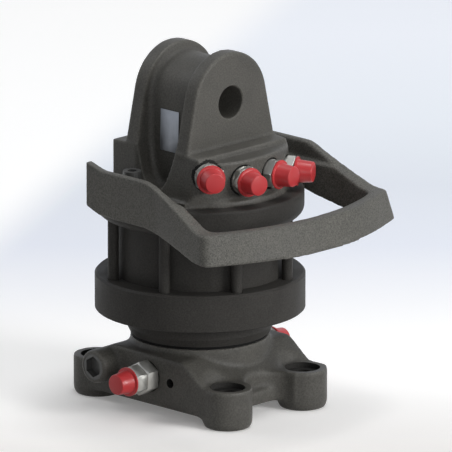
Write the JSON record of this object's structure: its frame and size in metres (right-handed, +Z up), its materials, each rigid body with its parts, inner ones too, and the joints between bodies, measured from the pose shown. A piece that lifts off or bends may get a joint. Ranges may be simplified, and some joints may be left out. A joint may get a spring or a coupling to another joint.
{
  "type": "hydraulic rotator",
  "caption": "Crane grapple rotator: footed flange turning below a vane motor, forked hanger head, hose guard loop, capped port adapters.",
  "frame": {"origin": "centre of the four foot bolt holes, on the slewing axis, in the plane of the feet's bottoms", "axes": "+Z up along the slewing axis; +Y along the hanging pin; the ports and the hose guard point to -Y; +X to the right seen from the ports"},
  "size_m": [0.2452, 0.2632, 0.3288],
  "materials": {
    "cast_body": "matte paint",
    "black_screw": "black oxide",
    "zinc_steel": "zinc plated",
    "red_cap": "moulded",
    "ground_steel": "ground",
    "seal_rubber": "moulded",
    "bronze": "turned",
    "seal_plastic": "turned"
  },
  "bodies": {
    "stator": {"head_casting": "cast_body", "hose_guard": "cast_body", "guard_screws": "black_screw", "cam_ring": "cast_body", "lower_cover": "cast_body", "tie_bolts": "black_screw", "dowel_pins": "ground_steel", "lower_side_plate": "ground_steel", "upper_side_plate": "ground_steel", "cover_o_rings": "seal_rubber", "shaft_seal": "seal_rubber", "thrust_race_lower": "ground_steel", "lower_bush": "bronze", "upper_bush": "bronze", "upper_adapter_1": "zinc_steel", "upper_adapter_2": "zinc_steel", "upper_adapter_3": "zinc_steel", "upper_adapter_4": "zinc_steel", "upper_seal_washers": "zinc_steel"},
    "rotor": {"flange_casting": "cast_body", "side_plug": "black_screw", "flange_screws": "black_screw", "rotor_shaft": "ground_steel", "vane_rotor": "ground_steel", "vanes": "ground_steel", "swivel_seals": "seal_plastic", "dust_seal": "seal_rubber", "thrust_race_upper": "ground_steel", "thrust_balls": "ground_steel", "ball_cage": "bronze", "lower_adapter_1": "zinc_steel", "lower_adapter_2": "zinc_steel", "lower_seal_washers": "zinc_steel"},
    "upper_cap_1_body": {"upper_cap_1": "red_cap"},
    "upper_cap_2_body": {"upper_cap_2": "red_cap"},
    "upper_cap_3_body": {"upper_cap_3": "red_cap"},
    "upper_cap_4_body": {"upper_cap_4": "red_cap"},
    "lower_cap_1_body": {"lower_cap_1": "red_cap"},
    "lower_cap_2_body": {"lower_cap_2": "red_cap"}
  },
  "joints": [
    {"name": "slew", "type": "hinge", "parent": "stator", "child": "rotor", "pos_m": [0, 0, 0], "axis": [0, 0, 1], "continuous": true},
    {"name": "upper_cap_1_pull", "type": "slide", "parent": "stator", "child": "upper_cap_1_body", "axis": [-0.512, -0.859, 0], "range_m": [0, 0.024]},
    {"name": "upper_cap_2_pull", "type": "slide", "parent": "stator", "child": "upper_cap_2_body", "axis": [-0.1805, -0.9836, 0], "range_m": [0, 0.024]},
    {"name": "upper_cap_3_pull", "type": "slide", "parent": "stator", "child": "upper_cap_3_body", "axis": [0.1805, -0.9836, 0], "range_m": [0, 0.024]},
    {"name": "upper_cap_4_pull", "type": "slide", "parent": "stator", "child": "upper_cap_4_body", "axis": [0.512, -0.859, 0], "range_m": [0, 0.024]},
    {"name": "lower_cap_1_pull", "type": "slide", "parent": "rotor", "child": "lower_cap_1_body", "axis": [-1, 0, 0], "range_m": [0, 0.024]},
    {"name": "lower_cap_2_pull", "type": "slide", "parent": "rotor", "child": "lower_cap_2_body", "axis": [1, 0, 0], "range_m": [0, 0.024]}
  ]
}
